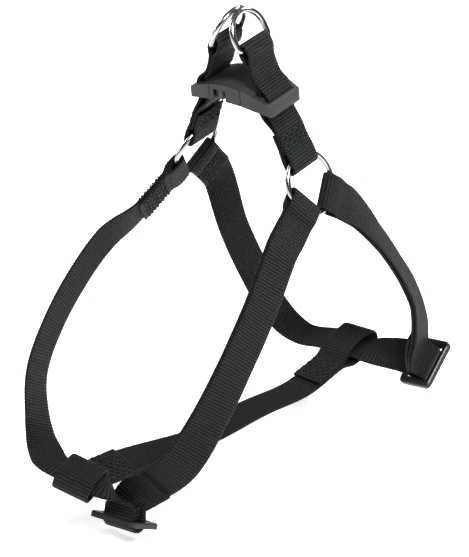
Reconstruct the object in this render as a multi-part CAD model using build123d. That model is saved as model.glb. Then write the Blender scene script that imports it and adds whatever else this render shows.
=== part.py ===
"""A step-in no pull dog harness of black webbing, in the shape it has on the dog.

Two loops of webbing, one in front of and one behind the dog's front legs, hang from two O-rings. A chest strap
joins them below. Two short back straps rise from the O-rings to a pair of D-rings, and a side release buckle
joins the back straps to each other. All lengths are in millimetres. X is to the dog's right, Y to its tail and
Z up, and the origin is the point inside the bows of the two D-rings where a lead clips on.
"""
from build123d import *
from math import asin, cos, degrees, pi, radians, sin, sqrt, tan
import os

# Webbing and its sewing
WEB_WIDTH = 20.0
WEB_THICKNESS = 1.6
LAYER_GAP = 0.3  # between two layers that lie on each other
CLEARANCE = 0.35  # between webbing and what it passes round or through
SLOT_PLAY = 0.8  # how much longer a slot is than the webbing is wide
THREAD = 0.45
STITCH_PITCH = 3.0
STITCH_ROWS = 5

# O-rings
RING_WIRE = 2.8
RING_SPREAD = 75.0  # between the centres of the two O-rings
FOLD_SPREAD = 50.0  # degrees from straight down to each of the two loops' folds
RING_ROLL = 8.0  # degrees that both folds are turned towards the dog's head

# D-rings
D_WIRE = 3.0
D_HEIGHT = 17.6  # from the middle of the bar to the middle of the bow
D_SPREAD = 18.0  # between the bars of the two D-rings
D_LEVEL = 71.5  # height of the bars above the O-rings' centres, along the back straps
D_CORNER = 1.8
BOW_GAP = 0.5  # between the two bows where they meet

# Back straps
BACK_TILT = 8.0  # degrees that the back straps lean towards the dog's head
BACK_TAIL = 31.0  # from an O-ring's centre to the sewn end above it

# Side release buckle, with X = 0 at its middle
BUCKLE_LENGTH = 52.0
BUCKLE_WIDTH = 27.0
BUCKLE_END_WIDTH = 25.0
BUCKLE_LEVEL = 39.5  # underside of its ends above the O-rings' centres
END_HEIGHT = 5.5
ARCH_BELOW = 3.0  # rise of the underside to its middle
ARCH_ABOVE = 6.5
RIM = 2.4
ANCHOR_BAR = 2.4
OUTER_SLOT = 2.8
INNER_SLOT = 3.0
MOUTH = -12.0  # where the socket starts
PART_GAP = 0.3
CAVITY_FLOOR = 4.8
CAVITY_HEIGHT = 3.8
CAVITY_END = 12.5
SIDE_WALL = 2.2
MOUTH_BAND = 2.6
WINDOW_END = -1.8
SEAM = 7.8
SEAM_DEPTH = 0.4
PRONG_ARM = 2.4
PRONG_PLAY = 0.25
CATCH = 0.7  # how far a prong's shoulder stands out past the mouth band's inside
TONGUE_WIDTH = 7.0

# Strap adjusters
ADJUSTER_LENGTH = 22.0
ADJUSTER_BAR = 2.5
ADJUSTER_CENTRE_BAR = 3.0
ADJUSTER_HEIGHT = 3.0
ADJUSTER_ARM = 4.0

# Chest strap keepers
KEEPER_HEIGHT = 5.5  # from the middle of a keeper to the middle of its webbing
KEEPER_PLAY = 1.8  # beyond the strap's edge, for the sideways drift over the keepers' travel
KEEPER_NECK = 19.0  # from a keeper's middle to where its two layers meet
FRONT_CHEST_TAIL = 25.0  # from where the two layers meet to the sewn end
REAR_CHEST_TAIL = 19.0

SEWN_TAIL = 44.0  # from a ring's centre to a loop's sewn end
ADJUSTER_TAIL = 30.0
HALF_WEB = WEB_WIDTH / 2
HALF_THICK = WEB_THICKNESS / 2
PAIR = (WEB_THICKNESS + LAYER_GAP) / 2  # from the middle of two layers to the middle of each
LAYER = WEB_THICKNESS + LAYER_GAP

ring_chord = (HALF_WEB + CLEARANCE) / tan(radians(FOLD_SPREAD)) + CLEARANCE + WEB_THICKNESS
ring_inside = sqrt(ring_chord**2 + HALF_WEB**2)
ring_radius = ring_inside + RING_WIRE / 2
bow_radius = (WEB_WIDTH + SLOT_PLAY + D_WIRE) / 2
bow_lean = degrees(asin((D_SPREAD - D_WIRE - BOW_GAP) / 2 / D_HEIGHT))
lead_height = D_LEVEL + D_HEIGHT * cos(radians(bow_lean)) - D_WIRE / 2
RING_MIDDLE = -Vector(0, 0, lead_height).rotate(Axis.X, BACK_TILT)


def back_point(x, y, z):
    """A point of the back assembly, given from midway between the O-rings."""
    return RING_MIDDLE + Vector(x, y, z).rotate(Axis.X, BACK_TILT)


def back_direction(x, y, z):
    return Vector(x, y, z).rotate(Axis.X, BACK_TILT)


def back_place():
    return Location(RING_MIDDLE, (BACK_TILT, 0, 0))


class Seat:
    """Where webbing passes round something: out runs along the strap, side from layer to layer."""

    def __init__(self, centre, out, side, width):
        self.centre = centre
        self.out = out.normalized()
        self.side = side.normalized()
        self.width = width.normalized()

    def at(self, along, across):
        return self.centre + self.out * along + self.side * across, self.width

    def plane(self):
        return Plane(origin=self.centre, x_dir=self.out, z_dir=self.out.cross(self.side))


def ways_along(stations):
    """For each station, the direction in which the webbing runs."""
    points = [point for point, width in stations]
    behind = points[:1] + points
    ahead = points[1:] + points[-1:]
    return [(b - a).normalized() for a, b in zip(behind, ahead)]


def normals(stations):
    """For each station, the direction square to the webbing's face."""
    ways = ways_along(stations)
    return [way.cross(width).normalized() for way, (point, width) in zip(ways, stations)]


def webbing(stations):
    """One strip of webbing through its stations, each the strip's middle and the direction of its width."""
    sections = []
    for (point, width), normal in zip(stations, normals(stations)):
        a = width.normalized() * HALF_WEB
        n = normal * HALF_THICK
        sections.append(Wire.make_polygon([point - a - n, point + a - n, point + a + n, point - a + n]))
    return Solid.make_loft(sections, ruled=True)


def turn(seat, start, radius, steps=6):
    """Stations of a half turn round a bar, from the seat's side to the other side."""
    angles = [pi * i / steps for i in range(steps + 1)]
    return [seat.at(start - radius * sin(a), radius * cos(a)) for a in angles]


def fold(seat, start, radius, shoulder, joined, offset=PAIR):
    """A fold round a bar: two layers that part at the shoulder and meet again at joined."""
    first = [seat.at(joined, offset), seat.at(shoulder, radius)]
    last = [seat.at(shoulder, -radius), seat.at(joined, -offset)]
    return first + turn(seat, start, radius) + last


def smooth(route, first_way, last_way, spacing=8.0):
    """Stations between the ends of a smooth curve through the route, with its ways at both ends given."""
    points = [point for point, width in route]
    ways = [first_way.normalized()]
    ways += [(ahead - behind).normalized() for behind, ahead in zip(points, points[2:])]
    ways.append(last_way.normalized())
    stations = []
    for i in range(len(route) - 1):
        (a, wa), (b, wb) = route[i], route[i + 1]
        chord = (b - a).length
        count = max(1, round(chord / spacing))
        for j in range(count):
            t = j / count
            s = t * t * (3 - 2 * t)
            bend = ways[i] * (chord * t * (1 - t) ** 2) - ways[i + 1] * (chord * t * t * (1 - t))
            stations.append((a + (b - a) * s + bend, wa + (wb - wa) * t))
    stations.append(route[-1])
    squared = [(p, w - way * w.dot(way)) for way, (p, w) in zip(ways_along(stations), stations)]
    return squared[1:-1]


def shifted(stations, offset):
    """The same run, moved square to its face by the offset."""
    return [(point + normal * offset, width) for normal, (point, width) in zip(normals(stations), stations)]


def stitches(seat, start, end, low, high):
    """Rows of thread through layers of webbing: a rail on each face and a rung at each needle hole."""
    length = end - start
    height = high - low + THREAD
    holes = max(2, round(length / STITCH_PITCH))
    pitch = length / holes
    ladder = Rectangle(length, height)
    for i in range(holes):
        x = -length / 2 + (i + 0.5) * pitch
        ladder -= Pos(x, 0) * Rectangle(pitch - THREAD, height - 2 * THREAD)
    row = extrude(Pos((start + end) / 2, (low + high) / 2) * ladder, THREAD / 2, both=True)
    spread = WEB_WIDTH - 5.0
    rows = []
    for i in range(STITCH_ROWS):
        rows.append(Pos(0, 0, spread * (i / (STITCH_ROWS - 1) - 0.5)) * row)
    return [seat.plane().location * one for one in rows]


# Seats of the webbing on the O-rings. side_sign is -1 on the dog's left and 1 on its right.

def ring_centre(side_sign):
    return Vector(side_sign * RING_SPREAD / 2, 0, 0)


anchor_x = BUCKLE_LENGTH / 2 - RIM - OUTER_SLOT - ANCHOR_BAR / 2
anchor_z = BUCKLE_LEVEL + END_HEIGHT / 2
lower_run = Vector(anchor_x - RING_SPREAD / 2, 0, anchor_z).normalized()
upper_run = Vector(D_SPREAD / 2 - anchor_x, 0, D_LEVEL - anchor_z).normalized()


def mirrored(vector, side_sign):
    return Vector(side_sign * vector.X, vector.Y, vector.Z)


def ring_seat(side_sign, fore, inner_first=True):
    """A loop's seat on an O-ring: fore is -1 for the front loop and 1 for the rear one."""
    up = mirrored(lower_run, side_sign)
    angle = radians(FOLD_SPREAD - fore * RING_ROLL)
    down = -up * cos(angle) + Vector(0, fore * sin(angle), 0)
    inward = Vector(-side_sign * lower_run.Z, 0, lower_run.X)
    side = inward if inner_first else -inward
    centre = ring_centre(side_sign)
    out = back_direction(down.X, down.Y, down.Z)
    side = back_direction(side.X, side.Y, side.Z)
    return Seat(back_point(centre.X, centre.Y, centre.Z), out, side, out.cross(side))


ring_turn = RING_WIRE / 2 + CLEARANCE + HALF_THICK
ring_start = ring_chord - CLEARANCE + RING_WIRE / 2
ring_shoulder = ring_radius + RING_WIRE / 2 + CLEARANCE
ring_joined = ring_shoulder + 5.0


# The routes of the loops between their seats, chosen for how they lie on the dog

FRONT_KEEPER = Vector(-4, -121, -211)
FRONT_KEEPER_RUN = Vector(0.92, 0.3, -0.3)
FRONT_KEEPER_OUT = Vector(0, 1, -0.18)
FRONT_SEWN_OUT = Vector(0.06, 0.99, -0.1)
FRONT_SEWN_DROP = 7.5  # how far below the keeper's middle its two sewn layers lie
REAR_KEEPER = Vector(10, 89, -214)
REAR_KEEPER_RUN = Vector(1, -0.05, 0.06)
REAR_KEEPER_OUT = Vector(0, -0.97, -0.22)
REAR_SEWN_OUT = Vector(-0.1, -0.97, -0.25)
FRONT_ADJUSTER = Vector(15.5, -111, -232.5)
FRONT_ADJUSTER_BAR = Vector(1, 0, 0.1)
FRONT_ADJUSTER_UP = Vector(-0.1, 0.45, 0.89)
FRONT_BRIDGE_WIDTH = Vector(0.55, -0.6, 0.2)  # halfway between the front keeper and its adjuster
REAR_ADJUSTER = Vector(57, 94, -213)
REAR_ADJUSTER_BAR = Vector(0, -0.75, -0.66)
REAR_ADJUSTER_UP = Vector(-0.26, -0.64, 0.72)
FRONT_LEFT_ROUTE = [
    (Vector(-52, -44, -121), Vector(0.1, -0.6, 0.7)),
    (Vector(-54, -66, -138), Vector(0.1, -0.7, 0.7)),
    (Vector(-54, -85, -157), Vector(0.1, -0.7, 0.6)),
    (Vector(-53, -98, -177), Vector(0.1, -0.8, 0.5)),
    (Vector(-43, -109, -195), Vector(0.1, -0.9, 0.3)),
    (Vector(-31, -117, -206), Vector(0, -1, 0.1)),
]
FRONT_RIGHT_ROUTE = [
    (Vector(41, -99, -199), Vector(0.6, 0.6, -0.4)),
    (Vector(48, -85, -178), Vector(0.4, 0.7, -0.5)),
    (Vector(51, -67, -154), Vector(0.3, 0.7, -0.6)),
    (Vector(49, -43, -130), Vector(0.3, 0.7, -0.6)),
    (Vector(46, -22, -107), Vector(0.3, 0.7, -0.6)),
]
REAR_LEFT_ROUTE = [
    (Vector(-51, 62, -150), Vector(-0.1, -0.8, -0.5)),
    (Vector(-48, 76, -180), Vector(-0.1, -0.9, -0.4)),
    (Vector(-38, 84, -205), Vector(0, -0.9, -0.3)),
    (Vector(-22, 87, -216), Vector(0, -1, -0.1)),
]
REAR_RIGHT_ROUTE = [
    (Vector(58, 86, -190), Vector(0.2, -0.8, -0.6)),
    (Vector(58, 79, -167), Vector(0.5, -0.7, -0.4)),
    (Vector(54, 70, -148), Vector(0.6, -0.7, -0.3)),
    (Vector(50, 57, -128), Vector(0.6, -0.6, -0.4)),
    (Vector(46, 41, -108), Vector(0.4, -0.6, -0.5)),
]
CHEST_ROUTE = [
    (Vector(-1, -35, -225), Vector(1, 0, 0)),
    (Vector(1, 12, -226), Vector(1, 0, 0)),
]

front_left_seat = ring_seat(-1, -1)
front_right_seat = ring_seat(1, -1)
rear_left_seat = ring_seat(-1, 1)
rear_right_seat = ring_seat(1, 1, inner_first=False)


def adjuster_seat(centre, bar, up):
    """The seat round an adjuster's centre bar: side runs from the first outer bar to the other."""
    up = (up - bar.normalized() * up.dot(bar.normalized())).normalized()
    return Seat(centre, up, up.cross(bar.normalized()), bar)


def keeper_seat(centre, run, towards):
    """The seat of a chest strap end: the loop's webbing runs through it along run."""
    run = run.normalized()
    out = (towards - run * towards.dot(run)).normalized()
    side = out.cross(run)
    if side.Z < 0:
        side = -side
    return Seat(centre, out, side, run)


def sewn_seat(keeper, out, drop=0):
    """The seat of a chest strap's sewn layers, which start where they meet behind the keeper."""
    out = out.normalized()
    side = keeper.side - out * keeper.side.dot(out)
    width = keeper.width - out * keeper.width.dot(out)
    side = side - width * (side.dot(width) / width.dot(width))
    return Seat(keeper.centre + keeper.out * KEEPER_NECK - keeper.side * drop, out, side, width)


front_adjuster_seat = adjuster_seat(FRONT_ADJUSTER, FRONT_ADJUSTER_BAR, FRONT_ADJUSTER_UP)
rear_adjuster_seat = adjuster_seat(REAR_ADJUSTER, REAR_ADJUSTER_BAR, REAR_ADJUSTER_UP)
front_keeper_seat = keeper_seat(FRONT_KEEPER, FRONT_KEEPER_RUN, FRONT_KEEPER_OUT)
rear_keeper_seat = keeper_seat(REAR_KEEPER, REAR_KEEPER_RUN, REAR_KEEPER_OUT)
front_sewn_seat = sewn_seat(front_keeper_seat, FRONT_SEWN_OUT, FRONT_SEWN_DROP)
rear_sewn_seat = sewn_seat(rear_keeper_seat, REAR_SEWN_OUT)


def ring_fold(seat, offset=PAIR):
    return fold(seat, ring_start, ring_turn, ring_shoulder, ring_joined, offset)


bar_turn = ADJUSTER_CENTRE_BAR / 2 + CLEARANCE + HALF_THICK
bar_joined = bar_turn * 2 + 3.0
under_turn = bar_turn + LAYER


def over_bar(start, way, seat):
    """The running layer from a keeper over an adjuster's first bar."""
    first_bar = -ADJUSTER_LENGTH / 2 + ADJUSTER_BAR / 2
    over = ADJUSTER_HEIGHT / 2 + CLEARANCE + HALF_THICK
    stations = [
        seat.at(over + 1.6, first_bar - 5.0),
        seat.at(over + 0.6, first_bar),
        seat.at(over - 0.4, first_bar + 2.6),
    ]
    return smooth([start, stations[0]], way, seat.side) + stations


def into_slot(start, way, seat):
    """The running layer from a keeper, twisted a quarter turn, down into an adjuster's first slot."""
    top = seat.at(7.0, -under_turn - 0.6)
    middle = (start[0] + top[0]) * 0.5 + (way + seat.out) * ((top[0] - start[0]).length / 8)
    return smooth([start, (middle, FRONT_BRIDGE_WIDTH), top], way, -seat.out, 2.5) + [top]


def through_adjuster(seat):
    """The running layer: under the centre bar and its fold, and up the second slot."""
    angles = [pi * i / 8 for i in range(9)]
    stations = [seat.at(0.4 - under_turn * sin(a), -under_turn * cos(a)) for a in angles]
    stations.append(seat.at(bar_joined, 1.5 * LAYER))
    return stations


def doubled_route(adjuster, ring, route):
    """The middle of the two layers from an adjuster up to a ring."""
    start = adjuster.at(bar_joined, LAYER)
    return [start] + route + [ring.at(ring_joined, 0)]


def through_keeper(keeper):
    """The loop's webbing lies straight while it passes through a keeper."""
    reach = HALF_WEB + 1.5
    width = keeper.out if keeper.out.Y < 0 else -keeper.out
    return [(keeper.centre + keeper.width * x, width) for x in (-reach, 0, reach)]


def loop_strap(left_seat, left_route, keeper, bridge, adjuster, right_route, right_seat):
    """One loop: sewn round the left ring, through keeper and adjuster, round the right ring and back."""
    tail = [left_seat.at(SEWN_TAIL, PAIR), left_seat.at((SEWN_TAIL + ring_joined) / 2, PAIR)]
    start = tail + ring_fold(left_seat) + [left_seat.at(SEWN_TAIL, -PAIR)]
    in_keeper = through_keeper(keeper)
    slot = bridge(in_keeper[-1], keeper.width, adjuster) + through_adjuster(adjuster)
    left = smooth([start[-1]] + left_route + [in_keeper[0]], left_seat.out, keeper.width)
    doubled = doubled_route(adjuster, right_seat, right_route)
    first_way = adjuster.out + (doubled[1][0] - doubled[0][0]).normalized()
    middle = [doubled[0]] + smooth(doubled, first_way, -right_seat.out) + [doubled[-1]]
    running = shifted(middle, PAIR)[1:-1]
    back = list(reversed(shifted(middle, -PAIR)[1:-1]))
    bar = fold(adjuster, 0, bar_turn, bar_turn * 2 - 1.0, bar_joined)
    tail_run = [s for s in middle[1:] if (s[0] - adjuster.centre).length < ADJUSTER_TAIL]
    sewn = shifted([middle[0]] + tail_run, -3 * PAIR)[1:]
    stations = start + left + in_keeper + slot + running + ring_fold(right_seat) + back + bar + sewn
    return webbing(stations)


def chest_end(seat, sewn, tail):
    """One end of the chest strap, from its sewn tail round the keeper to the layer below the tail."""
    start = -(HALF_WEB + KEEPER_PLAY) + KEEPER_HEIGHT - HALF_THICK
    leg = HALF_WEB - 1.0
    near = KEEPER_HEIGHT - 0.6
    stations = [sewn.at(tail, PAIR), sewn.at(0, PAIR), seat.at(leg, near)]
    stations += turn(seat, start, KEEPER_HEIGHT)
    stations += [seat.at(leg, -near), sewn.at(0, -PAIR), sewn.at(tail, -PAIR)]
    return stations


def chest_strap():
    """The chest strap, folded back and sewn at each end round a loop."""
    front = chest_end(front_keeper_seat, front_sewn_seat, FRONT_CHEST_TAIL)
    rear = list(reversed(chest_end(rear_keeper_seat, rear_sewn_seat, REAR_CHEST_TAIL)))
    middle = smooth([front[-1]] + CHEST_ROUTE + [rear[0]], front_sewn_seat.out, -rear_sewn_seat.out)
    return webbing(front + middle + rear)


def arch_rise(x):
    """How far the buckle's top stands above its ends, at a distance from its middle."""
    return ARCH_ABOVE * (1 - (2 * x / BUCKLE_LENGTH) ** 2)


def back_strap(side_sign):
    """A back strap: up from its ring, through the buckle, round the D-ring and back down."""
    up = mirrored(lower_run, side_sign)
    low_out = Vector(side_sign * lower_run.Z, 0, -lower_run.X)
    ring = Seat(ring_centre(side_sign), up, -low_out, Vector(0, 1, 0))
    high = mirrored(upper_run, side_sign)
    high_out = Vector(side_sign * upper_run.Z, 0, -upper_run.X)
    d_bar = Seat(Vector(side_sign * D_SPREAD / 2, 0, D_LEVEL), -high, high_out, Vector(0, 1, 0))
    outer_x = side_sign * (BUCKLE_LENGTH / 2 - RIM - OUTER_SLOT / 2)
    inner_x = side_sign * (anchor_x - ANCHOR_BAR / 2 - INNER_SLOT / 2)
    slot_low = BUCKLE_LEVEL - 1.0
    slot_high = BUCKLE_LEVEL + END_HEIGHT + 1.0
    outer_high = slot_high + arch_rise(anchor_x + ANCHOR_BAR / 2)
    inner_high = slot_high + arch_rise(anchor_x - ANCHOR_BAR / 2 - INNER_SLOT)
    width = Vector(0, 1, 0)
    d_turn = D_WIRE / 2 + CLEARANCE + HALF_THICK
    meet = (D_LEVEL - inner_high) * 0.85
    stations = [ring.at(BACK_TAIL, LAYER)]
    stations += fold(ring, ring_start, ring_turn, ring_shoulder, ring_joined, LAYER)
    stations += [ring.at(BACK_TAIL, -LAYER)]
    stations += [(Vector(outer_x, 0, slot_low), width), (Vector(outer_x, 0, outer_high), width)]
    stations += [d_bar.at(meet, PAIR)]
    stations += fold(d_bar, 0, d_turn, d_turn + 1.5, d_turn + 6.0)
    stations += [d_bar.at(meet, -PAIR)]
    stations += [(Vector(inner_x, 0, inner_high), width), (Vector(inner_x, 0, slot_low), width)]
    stations += [ring.at(BACK_TAIL + 0.5, 0), ring.at(ring_shoulder + 2.0, 0)]
    return back_place() * webbing(stations)


def o_ring(side_sign):
    seat = ring_seat(side_sign, -1)
    return Solid.make_torus(ring_radius, RING_WIRE / 2, Plane(origin=seat.centre, z_dir=seat.side))


def d_ring(side_sign):
    """A D of round wire: a bar, two rounded corners, short legs and a half round bow."""
    legs = D_HEIGHT - bow_radius
    low = D_CORNER
    half = bow_radius
    line = [
        Line((0, 0), (half - low, 0)),
        RadiusArc((half - low, 0), (half, low), -low),
        Line((half, low), (half, legs)),
        ThreePointArc((half, legs), (0, D_HEIGHT), (-half, legs)),
        Line((-half, legs), (-half, low)),
        RadiusArc((-half, low), (-half + low, 0), -low),
        Line((-half + low, 0), (0, 0)),
    ]
    path = Wire(line)
    section = Plane(origin=(0, 0), z_dir=(1, 0, 0)) * Circle(D_WIRE / 2)
    ring = sweep(section, path)
    lean = radians(bow_lean)
    bow = Vector(-side_sign * sin(lean), 0, cos(lean))
    bar_middle = (side_sign * D_SPREAD / 2, 0, D_LEVEL)
    stand = Plane(origin=bar_middle, x_dir=(0, 1, 0), z_dir=Vector(0, 1, 0).cross(bow))
    return back_place() * (stand.location * ring)


def buckle_body():
    """The whole buckle's arch, with a slotted frame at each end, before it is cut in two."""
    half = BUCKLE_LENGTH / 2
    side = make_face([
        ThreePointArc((-half, 0), (0, ARCH_BELOW), (half, 0)),
        Line((half, 0), (half, END_HEIGHT)),
        ThreePointArc((half, END_HEIGHT), (0, END_HEIGHT + ARCH_ABOVE), (-half, END_HEIGHT)),
        Line((-half, END_HEIGHT), (-half, 0)),
    ])
    arch = extrude(Plane.XZ * side, BUCKLE_WIDTH / 2, both=True)
    end = BUCKLE_END_WIDTH / 2
    wide = BUCKLE_WIDTH / 2
    waist = anchor_x - ANCHOR_BAR / 2 - INNER_SLOT
    plan = Polygon(
        (-half, -end), (-waist, -wide), (waist, -wide), (half, -end),
        (half, end), (waist, wide), (-waist, wide), (-half, end), align=None,
    )
    plan = fillet(plan.vertices(), 2.0)
    body = arch & extrude(plan, BUCKLE_LEVEL)
    slot_long = WEB_WIDTH + SLOT_PLAY
    for sign in (-1, 1):
        outer = sign * (half - RIM - OUTER_SLOT / 2)
        inner = sign * (anchor_x - ANCHOR_BAR / 2 - INNER_SLOT / 2)
        body -= Pos(outer, 0, 0) * Box(OUTER_SLOT, slot_long, 4 * END_HEIGHT)
        body -= Pos(inner, 0, 0) * Box(INNER_SLOT, slot_long, 4 * END_HEIGHT)
    return body


TO_RIGHT = (Align.MIN, Align.CENTER, Align.MIN)


def buckle_place():
    return back_place() * Location((0, 0, BUCKLE_LEVEL))


cavity_width = BUCKLE_WIDTH - 2 * SIDE_WALL
window_start = MOUTH + MOUTH_BAND


def socket():
    """The half of the buckle that the plug enters, with a window in each side for a prong."""
    keep = Pos(MOUTH + BUCKLE_LENGTH / 2, 0, 0) * Box(BUCKLE_LENGTH, BUCKLE_WIDTH * 2, BUCKLE_LEVEL)
    body = buckle_body() & keep
    to_left = (Align.MAX, Align.CENTER, Align.MIN)
    cavity = Box(CAVITY_END - MOUTH + 1, cavity_width, CAVITY_HEIGHT, align=to_left)
    body -= Pos(CAVITY_END, 0, CAVITY_FLOOR) * cavity
    depth = BUCKLE_WIDTH / 2 - SIDE_WALL + 1.6
    for sign in (-1, 1):
        window = Box(WINDOW_END - window_start, depth, CAVITY_FLOOR + CAVITY_HEIGHT, align=TO_RIGHT)
        body -= Pos(window_start, sign * BUCKLE_WIDTH / 2, 0) * window
    groove = Box(SEAM_DEPTH, BUCKLE_WIDTH * 2, BUCKLE_LEVEL)
    groove -= Box(SEAM_DEPTH, BUCKLE_WIDTH - 2 * SEAM_DEPTH, BUCKLE_LEVEL)
    return buckle_place() * (body - Pos(SEAM, 0, 0) * groove)


def plug():
    """The other half of the buckle: its frame, and a tongue that guides it into the socket."""
    keep_middle = MOUTH - PART_GAP - BUCKLE_LENGTH / 2
    keep = Pos(keep_middle, 0, 0) * Box(BUCKLE_LENGTH, BUCKLE_WIDTH * 2, BUCKLE_LEVEL)
    body = buckle_body() & keep
    tongue_end = CAVITY_END - 2.0
    root = MOUTH - PART_GAP
    tongue_thick = CAVITY_HEIGHT - 2 * PRONG_PLAY
    tongue_box = Box(tongue_end - root + 1, TONGUE_WIDTH, tongue_thick, align=TO_RIGHT)
    body += Pos(root - 1, 0, CAVITY_FLOOR + PRONG_PLAY) * tongue_box
    return buckle_place() * body


def prong(side_sign):
    """A springy arm with a pad that stands in the socket's window and catches behind the mouth band."""
    inside = cavity_width / 2 - PRONG_PLAY
    root = MOUTH + PART_GAP / 2
    pad_start = window_start + PART_GAP
    pad_end = WINDOW_END - 2.0
    shoulder = cavity_width / 2 + CATCH
    outer = BUCKLE_WIDTH / 2 - 0.3
    tip = pad_end + 9.0
    plan = Polygon(
        (root, inside - PRONG_ARM), (tip, inside - PRONG_ARM), (tip, inside - 1.0), (pad_end + 1.5, inside),
        (pad_end, outer), (pad_start, shoulder), (pad_start, inside), (root, inside), align=None,
    )
    low = CAVITY_FLOOR + PRONG_PLAY
    arm = Pos(0, 0, low) * extrude(plan, CAVITY_HEIGHT - 2 * PRONG_PLAY)
    pad_plan = Polygon(
        (pad_start, inside - 1.2), (pad_end, inside - 1.2), (pad_end, outer), (pad_start, shoulder),
        align=None,
    )
    pad_low = ARCH_BELOW + 0.6
    arm += Pos(0, 0, pad_low) * extrude(pad_plan, CAVITY_FLOOR + CAVITY_HEIGHT - PRONG_PLAY - pad_low)
    if side_sign < 0:
        arm = mirror(arm, Plane.XZ)
    return buckle_place() * arm


def adjuster(seat):
    """A slide adjuster: a frame with two slots and a round centre bar between them."""
    slot_long = WEB_WIDTH + SLOT_PLAY
    frame = Box(slot_long + 2 * ADJUSTER_ARM, ADJUSTER_LENGTH, ADJUSTER_HEIGHT)
    frame = fillet(frame.edges().filter_by(Axis.Z), 3.0)
    frame = chamfer(frame.faces().sort_by(Axis.Z)[-1].edges(), 0.6)
    frame -= Box(slot_long, ADJUSTER_LENGTH - 2 * ADJUSTER_BAR, 2 * ADJUSTER_HEIGHT)
    frame += Rot(0, 90, 0) * Cylinder(ADJUSTER_CENTRE_BAR / 2, slot_long + 2.0)
    return Plane(origin=seat.centre, x_dir=seat.width, z_dir=seat.out).location * frame


def save(name, shape):
    solids = shape.solids()
    whole = solids[0] if len(solids) == 1 else Compound(children=list(solids))
    export_step(whole, f"parts/{name}.step")


def ring_stitches(seat):
    return stitches(seat, ring_joined + 1.5, SEWN_TAIL - 2.0, -PAIR - HALF_THICK, PAIR + HALF_THICK)


def adjuster_stitches(seat):
    """Rows of thread through the two layers that meet above an adjuster's centre bar."""
    return stitches(seat, bar_joined - 2.6, bar_joined + 0.2, -PAIR - HALF_THICK, PAIR + HALF_THICK)


def chest_stitches(seat, tail):
    return stitches(seat, 1.5, tail - 2.0, -PAIR - HALF_THICK, PAIR + HALF_THICK)


def back_stitches(side_sign):
    up = mirrored(lower_run, side_sign)
    low_out = Vector(side_sign * lower_run.Z, 0, -lower_run.X)
    ring = Seat(ring_centre(side_sign), up, -low_out, Vector(0, 1, 0))
    rows = stitches(ring, ring_joined - 1.0, BACK_TAIL - 1.0, -LAYER - HALF_THICK, LAYER + HALF_THICK)
    return [back_place() * row for row in rows]


def build():
    front_strap = loop_strap(
        front_left_seat, FRONT_LEFT_ROUTE, front_keeper_seat, into_slot, front_adjuster_seat,
        FRONT_RIGHT_ROUTE, front_right_seat,
    )
    rear_strap = loop_strap(
        rear_left_seat, REAR_LEFT_ROUTE, rear_keeper_seat, over_bar, rear_adjuster_seat,
        REAR_RIGHT_ROUTE, rear_right_seat,
    )
    parts = {
        "front_strap": front_strap,
        "rear_strap": rear_strap,
        "chest_strap": chest_strap(),
        "buckle_plug": plug(),
        "buckle_socket": socket(),
        "buckle_prong_front": prong(-1),
        "buckle_prong_rear": prong(1),
        "front_adjuster": adjuster(front_adjuster_seat),
        "rear_adjuster": adjuster(rear_adjuster_seat),
        "front_strap_stitches": Compound(children=ring_stitches(front_left_seat)),
        "rear_strap_stitches": Compound(children=ring_stitches(rear_left_seat)),
        "front_strap_end_stitches": Compound(children=adjuster_stitches(front_adjuster_seat)),
        "rear_strap_end_stitches": Compound(children=adjuster_stitches(rear_adjuster_seat)),
        "chest_strap_front_stitches": Compound(children=chest_stitches(front_sewn_seat, FRONT_CHEST_TAIL)),
        "chest_strap_rear_stitches": Compound(children=chest_stitches(rear_sewn_seat, REAR_CHEST_TAIL)),
    }
    for name, sign in (("left", -1), ("right", 1)):
        parts[f"back_strap_{name}"] = back_strap(sign)
        parts[f"ring_{name}"] = o_ring(sign)
        parts[f"d_ring_{name}"] = d_ring(sign)
        parts[f"back_strap_{name}_stitches"] = Compound(children=back_stitches(sign))
    return parts


os.makedirs("parts", exist_ok=True)
for name, shape in build().items():
    save(name, shape)
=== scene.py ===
"""The looks of a step-in no pull dog harness: ribbed black webbing, chrome rings and charcoal plastic.

X is to the dog's right, Y to its tail and Z up. Routes are worked out in millimetres and made in metres.
"""

from math import asin, cos, pi, radians, sin, sqrt, tan

import bpy
from mathutils import Matrix, Vector


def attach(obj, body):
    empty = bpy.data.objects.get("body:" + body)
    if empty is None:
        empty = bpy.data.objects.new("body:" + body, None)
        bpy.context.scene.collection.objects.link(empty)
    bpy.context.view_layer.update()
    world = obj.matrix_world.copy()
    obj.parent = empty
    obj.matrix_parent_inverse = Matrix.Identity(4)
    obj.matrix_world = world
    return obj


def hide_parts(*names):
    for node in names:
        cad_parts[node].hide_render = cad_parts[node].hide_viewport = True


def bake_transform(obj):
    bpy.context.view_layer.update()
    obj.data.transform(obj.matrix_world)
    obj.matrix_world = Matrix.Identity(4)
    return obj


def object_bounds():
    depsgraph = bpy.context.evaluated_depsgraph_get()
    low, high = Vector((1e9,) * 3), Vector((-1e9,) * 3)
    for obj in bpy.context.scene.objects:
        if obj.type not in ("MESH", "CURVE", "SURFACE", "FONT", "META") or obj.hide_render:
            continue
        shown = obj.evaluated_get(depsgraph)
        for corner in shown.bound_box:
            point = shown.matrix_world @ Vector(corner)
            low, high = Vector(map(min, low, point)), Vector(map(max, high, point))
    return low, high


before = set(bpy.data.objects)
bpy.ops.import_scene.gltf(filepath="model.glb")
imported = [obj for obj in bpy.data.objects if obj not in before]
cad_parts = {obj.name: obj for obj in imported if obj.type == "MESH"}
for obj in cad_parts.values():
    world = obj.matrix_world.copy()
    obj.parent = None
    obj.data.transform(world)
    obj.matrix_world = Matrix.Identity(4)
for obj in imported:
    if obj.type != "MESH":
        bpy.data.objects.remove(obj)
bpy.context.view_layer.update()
MM = 0.001

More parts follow.
